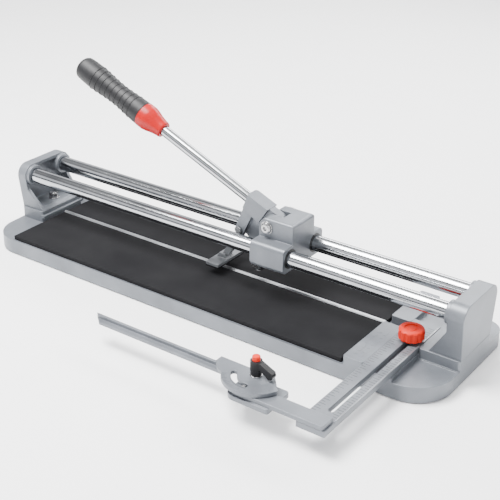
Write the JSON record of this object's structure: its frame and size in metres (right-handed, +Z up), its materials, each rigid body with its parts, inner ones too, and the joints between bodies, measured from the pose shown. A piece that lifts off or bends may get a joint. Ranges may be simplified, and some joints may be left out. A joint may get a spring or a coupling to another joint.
{
  "type": "tile cutter",
  "caption": "Manual tile cutter with two rails, a sliding carriage with a scoring and breaking lever, and a sliding ruler with a swivelling fence.",
  "frame": {"origin": "on the score line, under the centre foot, at table height", "axes": "+X right along the rails, +Y to the rear, +Z up"},
  "size_m": [0.74, 0.3595, 0.2849],
  "materials": {
    "casting_paint": "satin",
    "pad_rubber": "matte",
    "chromed_steel": "polished",
    "zinc_steel": "satin",
    "black_steel": "satin",
    "ridge_aluminium": "satin",
    "dark_paint": "satin",
    "hard_steel": "satin",
    "insert_brass": "satin",
    "orange_plastic": "satin",
    "red_plastic": "gloss",
    "black_plastic": "matte",
    "grip_rubber": "matte"
  },
  "bodies": {
    "base": {"base_casting": "casting_paint", "front_pad": "pad_rubber", "rear_pad": "pad_rubber", "breaking_ridge": "ridge_aluminium", "left_support": "casting_paint", "right_support": "casting_paint", "front_rail": "chromed_steel", "rear_rail": "chromed_steel", "support_bolts": "zinc_steel", "support_washers": "zinc_steel", "support_nuts": "zinc_steel", "locating_pins": "zinc_steel", "rail_grub_screws": "black_steel", "rubber_feet": "pad_rubber", "centre_foot": "pad_rubber", "foot_screws": "zinc_steel", "clamp_stud": "zinc_steel", "clamp_washer": "zinc_steel"},
    "knob": {"clamp_knob": "orange_plastic", "knob_insert": "insert_brass"},
    "ruler": {"ruler_arm": "casting_paint", "fence_bar": "casting_paint", "fence_bar_screws": "zinc_steel", "index_pin": "zinc_steel", "swivel_stud": "zinc_steel", "swivel_washer": "zinc_steel"},
    "fence": {"swivel_fence": "casting_paint"},
    "clamp_hub": {"lever_hub": "insert_brass", "hub_screw": "black_steel", "lever_spring": "hard_steel"},
    "clamp_handle": {"clamp_lever": "black_plastic", "clamp_cap": "orange_plastic"},
    "carriage": {"carriage_body": "casting_paint", "carriage_bushes": "black_plastic", "pivot_bolt": "zinc_steel", "pivot_washers": "zinc_steel", "pivot_nut": "zinc_steel"},
    "lever": {"lever_casting": "casting_paint", "handle_rod": "chromed_steel", "rod_screw": "zinc_steel", "grip_collar": "red_plastic", "hand_grip": "grip_rubber", "foot_stem": "dark_paint", "foot_bolt": "zinc_steel", "foot_bar": "dark_paint", "foot_sole": "pad_rubber", "wheel_holder": "dark_paint", "wheel_screw": "black_steel", "wheel_axle": "zinc_steel"},
    "wheel": {"scoring_wheel": "hard_steel"}
  },
  "joints": [
    {"name": "carriage_slide", "type": "slide", "parent": "base", "child": "carriage", "axis": [1, 0, 0], "range_m": [-0.275, 0.225]},
    {"name": "lever_hinge", "type": "hinge", "parent": "carriage", "child": "lever", "pos_m": [0.077, 0, 0.124], "axis": [0, 1, 0], "range_deg": [-5.5, 16]},
    {"name": "wheel_spin", "type": "hinge", "parent": "lever", "child": "wheel", "pos_m": [0.04523, 0, 0.05058], "axis": [0, 1, 0], "continuous": true},
    {"name": "ruler_slide", "type": "slide", "parent": "base", "child": "ruler", "axis": [0, 1, 0], "range_m": [0, 0.165]},
    {"name": "fence_swivel", "type": "hinge", "parent": "ruler", "child": "fence", "pos_m": [0.2005, -0.2235, 0.0445], "axis": [0, 0, 1], "range_deg": [0, 45]},
    {"name": "clamp_turn", "type": "hinge", "parent": "ruler", "child": "clamp_hub", "pos_m": [0.2005, -0.2235, 0.0445], "axis": [0, 0, 1], "range_deg": [-90, 90]},
    {"name": "clamp_lift", "type": "slide", "parent": "clamp_hub", "child": "clamp_handle", "axis": [0, 0, 1], "range_m": [0, 0.003], "stiffness_N_per_m": 300, "springref_m": -0.002, "deforming": ["lever_spring"]},
    {"name": "knob_turn", "type": "hinge", "parent": "base", "child": "knob", "pos_m": [0.2997, -0.031, 0.045], "axis": [0, 0, 1], "continuous": true}
  ]
}
